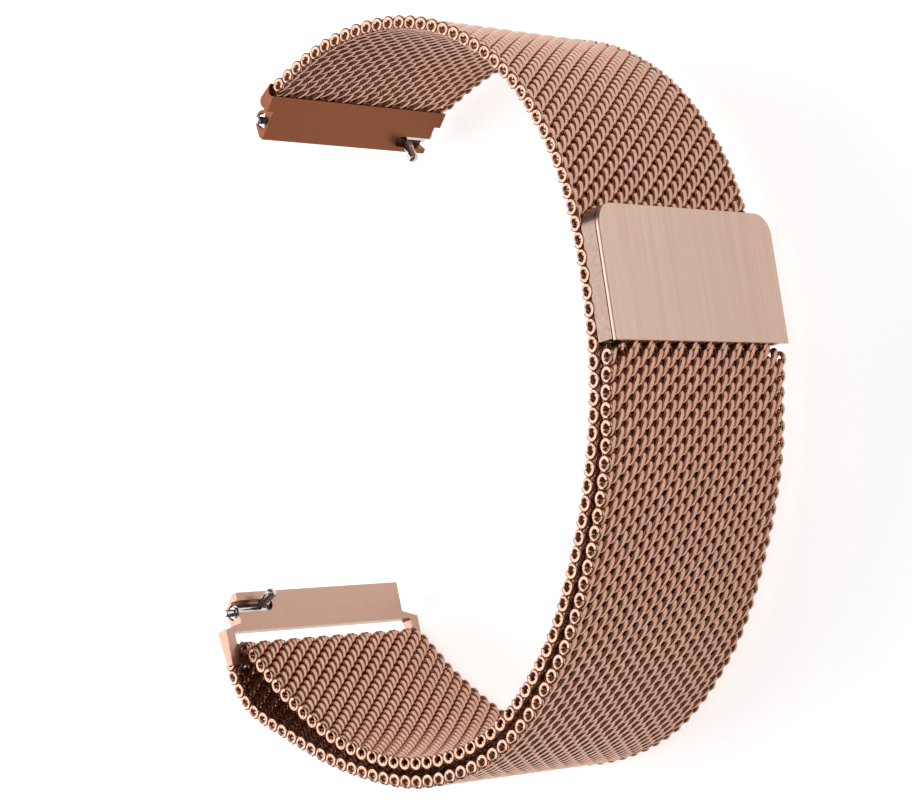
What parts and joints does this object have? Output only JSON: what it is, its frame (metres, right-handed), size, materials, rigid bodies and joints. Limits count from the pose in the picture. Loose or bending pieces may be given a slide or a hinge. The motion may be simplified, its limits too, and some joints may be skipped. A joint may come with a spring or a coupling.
{
  "type": "watch band",
  "caption": "Woven metal mesh watch band with a magnetic sliding clasp, a slotted end fitting and quick-release spring bars; no watch case.",
  "frame": {"origin": "centre of the bottom of the band's box, as it lies on its side", "axes": "+Z along the band's width, +X towards the clasp, +Y towards the fixed end; the open side of the loop faces -X"},
  "size_m": [0.0498, 0.0654, 0.0235],
  "materials": {
    "mesh_wire": "rose gold plated stainless wire, polished",
    "clasp_cover": "rose gold plated stainless steel, fine brushing along the band",
    "clasp_base": "rose gold plated stainless steel, satin",
    "fitting": "rose gold plated stainless steel, satin",
    "magnet": "nickel plated magnet blocks",
    "yoke_steel": "plain soft steel",
    "bar_steel": "bright stainless steel",
    "spring_wire": "drawn spring wire"
  },
  "bodies": {
    "strap_01": {"mesh_strap_01": "mesh_wire"},
    "strap_02": {"mesh_strap_02": "mesh_wire"},
    "strap_03": {"mesh_strap_03": "mesh_wire"},
    "strap_04": {"mesh_strap_04": "mesh_wire"},
    "strap_05": {"mesh_strap_05": "mesh_wire"},
    "strap_06": {"mesh_strap_06": "mesh_wire"},
    "clasp_seat": {"mesh_strap_07": "mesh_wire"},
    "strap_08": {"mesh_strap_08": "mesh_wire"},
    "strap_09": {"mesh_strap_09": "mesh_wire"},
    "strap_10": {"mesh_strap_10": "mesh_wire"},
    "strap_11": {"mesh_strap_11": "mesh_wire"},
    "strap_12": {"mesh_strap_12": "mesh_wire"},
    "strap_13": {"mesh_strap_13": "mesh_wire"},
    "strap_14": {"mesh_strap_14": "mesh_wire"},
    "fold": {"mesh_strap_15": "mesh_wire", "mesh_fold": "mesh_wire"},
    "tail_01": {"mesh_tail_01": "mesh_wire"},
    "tail_02": {"mesh_tail_02": "mesh_wire"},
    "tail_03": {"mesh_tail_03": "mesh_wire"},
    "tail_04": {"mesh_tail_04": "mesh_wire"},
    "tail_05": {"mesh_tail_05": "mesh_wire"},
    "tail_06": {"mesh_tail_06": "mesh_wire"},
    "tail_07": {"mesh_tail_07": "mesh_wire"},
    "tail_08": {"mesh_tail_08": "mesh_wire"},
    "tail_09": {"mesh_tail_09": "mesh_wire"},
    "clasp": {"mesh_tail_end": "mesh_wire", "clasp_base": "clasp_base", "clasp_cover": "clasp_cover", "clasp_magnets": "magnet", "clasp_yoke_plate": "yoke_steel"},
    "fixed_end": {"fixed_end_fitting": "fitting", "fixed_bar_tube": "bar_steel", "fixed_bar_plain_tip": "bar_steel", "fixed_bar_spring": "spring_wire"},
    "fixed_release": {"fixed_bar_release_pin": "bar_steel", "fixed_bar_lever_knob": "bar_steel"},
    "slotted_end": {"slotted_end_fitting": "fitting", "slotted_bar_tube": "bar_steel", "slotted_bar_plain_tip": "bar_steel", "slotted_bar_spring": "spring_wire"},
    "slotted_release": {"slotted_bar_release_pin": "bar_steel", "slotted_bar_lever_knob": "bar_steel"}
  },
  "joints": [
    {"name": "strap_flex_06", "type": "hinge", "parent": "clasp_seat", "child": "strap_06", "pos_m": [0.02002, 0.01524, 0.01175], "axis": [0, 0, -1], "range_deg": [-4, 14.7]},
    {"name": "strap_flex_05", "type": "hinge", "parent": "strap_06", "child": "strap_05", "pos_m": [0.01677, 0.02184, 0.01175], "axis": [0, 0, -1], "range_deg": [-4, 16.4]},
    {"name": "strap_flex_04", "type": "hinge", "parent": "strap_05", "child": "strap_04", "pos_m": [0.01173, 0.02732, 0.01175], "axis": [0, 0, -1], "range_deg": [-4, 18.8]},
    {"name": "strap_flex_03", "type": "hinge", "parent": "strap_04", "child": "strap_03", "pos_m": [0.00519, 0.03089, 0.01175], "axis": [0, 0, -1], "range_deg": [-4, 18.8]},
    {"name": "strap_flex_02", "type": "hinge", "parent": "strap_03", "child": "strap_02", "pos_m": [-0.00215, 0.03216, 0.01175], "axis": [0, 0, -1], "range_deg": [-4, 17.6]},
    {"name": "strap_flex_01", "type": "hinge", "parent": "strap_02", "child": "strap_01", "pos_m": [-0.00992, 0.03109, 0.01175], "axis": [0, 0, -1], "range_deg": [-4, 16.4]},
    {"name": "fixed_end_flex", "type": "hinge", "parent": "strap_01", "child": "fixed_end", "pos_m": [-0.01707, 0.02788, 0.01175], "axis": [0, 0, -1], "range_deg": [-8, 12]},
    {"name": "strap_flex_07", "type": "hinge", "parent": "clasp_seat", "child": "strap_08", "pos_m": [0.0223, 0.00405, 0.01175], "axis": [0, 0, 1], "range_deg": [0, 13.07]},
    {"name": "strap_flex_08", "type": "hinge", "parent": "strap_08", "child": "strap_09", "pos_m": [0.02207, -0.00436, 0.01175], "axis": [0, 0, 1], "range_deg": [0, 10.73]},
    {"name": "strap_flex_09", "type": "hinge", "parent": "strap_09", "child": "strap_10", "pos_m": [0.02027, -0.01259, 0.01175], "axis": [0, 0, 1], "range_deg": [0, 10.73]},
    {"name": "strap_flex_10", "type": "hinge", "parent": "strap_10", "child": "strap_11", "pos_m": [0.01698, -0.02034, 0.01175], "axis": [0, 0, 1], "range_deg": [0, 18.74]},
    {"name": "strap_flex_11", "type": "hinge", "parent": "strap_11", "child": "strap_12", "pos_m": [0.01085, -0.0272, 0.01175], "axis": [0, 0, 1], "range_deg": [0, 26.75]},
    {"name": "strap_flex_12", "type": "hinge", "parent": "strap_12", "child": "strap_13", "pos_m": [0.00228, -0.03057, 0.01175], "axis": [0, 0, 1], "range_deg": [0, 24.23]},
    {"name": "strap_flex_13", "type": "hinge", "parent": "strap_13", "child": "strap_14", "pos_m": [-0.00731, -0.03011, 0.01175], "axis": [0, 0, 1], "range_deg": [0, 21.7]},
    {"name": "strap_flex_14", "type": "hinge", "parent": "strap_14", "child": "fold", "pos_m": [-0.01605, -0.02614, 0.01175], "axis": [0, 0, 1], "range_deg": [0, 10.85]},
    {"name": "tail_open", "type": "hinge", "parent": "fold", "child": "tail_01", "pos_m": [-0.02091, -0.02775, 0.01175], "axis": [0, 0, -1], "range_deg": [0, 30]},
    {"name": "tail_flex_14", "type": "hinge", "parent": "tail_01", "child": "tail_02", "pos_m": [-0.01657, -0.02942, 0.01175], "axis": [0, 0, 1], "range_deg": [-10.85, 0]},
    {"name": "tail_flex_13", "type": "hinge", "parent": "tail_02", "child": "tail_03", "pos_m": [-0.00767, -0.03182, 0.01175], "axis": [0, 0, 1], "range_deg": [-21.7, 0]},
    {"name": "tail_flex_12", "type": "hinge", "parent": "tail_03", "child": "tail_04", "pos_m": [0.00251, -0.03216, 0.01175], "axis": [0, 0, 1], "range_deg": [-24.23, 0]},
    {"name": "tail_flex_11", "type": "hinge", "parent": "tail_04", "child": "tail_05", "pos_m": [0.01176, -0.02851, 0.01175], "axis": [0, 0, 1], "range_deg": [-26.75, 0]},
    {"name": "tail_flex_10", "type": "hinge", "parent": "tail_05", "child": "tail_06", "pos_m": [0.01839, -0.0211, 0.01175], "axis": [0, 0, 1], "range_deg": [-18.74, 0]},
    {"name": "tail_flex_09", "type": "hinge", "parent": "tail_06", "child": "tail_07", "pos_m": [0.0218, -0.01307, 0.01175], "axis": [0, 0, 1], "range_deg": [-10.73, 0]},
    {"name": "tail_flex_08", "type": "hinge", "parent": "tail_07", "child": "tail_08", "pos_m": [0.02366, -0.00456, 0.01175], "axis": [0, 0, 1], "range_deg": [-10.73, 0]},
    {"name": "clasp_lift", "type": "hinge", "parent": "tail_08", "child": "tail_09", "pos_m": [0.02377, 0.00037, 0.01175], "axis": [0, 0, -1], "range_deg": [0, 45]},
    {"name": "tail_flex_07", "type": "hinge", "parent": "tail_09", "child": "clasp", "pos_m": [0.02387, 0.00437, 0.01175], "axis": [0, 0, 1], "range_deg": [-13.07, 0]},
    {"name": "slotted_end_swivel", "type": "hinge", "parent": "fold", "child": "slotted_end", "pos_m": [-0.02215, -0.02363, 0.01175], "axis": [0, 0, 1], "range_deg": [-2, 28]},
    {"name": "fixed_bar_release", "type": "slide", "parent": "fixed_end", "child": "fixed_release", "axis": [0, 0, 1], "range_m": [0, 0.001], "stiffness_N_per_m": 400, "springref_m": -0.001, "deforming": ["fixed_bar_spring"]},
    {"name": "slotted_bar_release", "type": "slide", "parent": "slotted_end", "child": "slotted_release", "axis": [0, 0, -1], "range_m": [0, 0.001], "stiffness_N_per_m": 400, "springref_m": -0.001, "deforming": ["slotted_bar_spring"]}
  ],
  "couplings": [
    {"joint": "tail_flex_14", "follows": "strap_flex_14", "ratio": -1},
    {"joint": "tail_flex_13", "follows": "strap_flex_13", "ratio": -1},
    {"joint": "tail_flex_12", "follows": "strap_flex_12", "ratio": -1},
    {"joint": "tail_flex_11", "follows": "strap_flex_11", "ratio": -1},
    {"joint": "tail_flex_10", "follows": "strap_flex_10", "ratio": -1},
    {"joint": "tail_flex_09", "follows": "strap_flex_09", "ratio": -1},
    {"joint": "tail_flex_08", "follows": "strap_flex_08", "ratio": -1},
    {"joint": "tail_flex_07", "follows": "strap_flex_07", "ratio": -1}
  ]
}
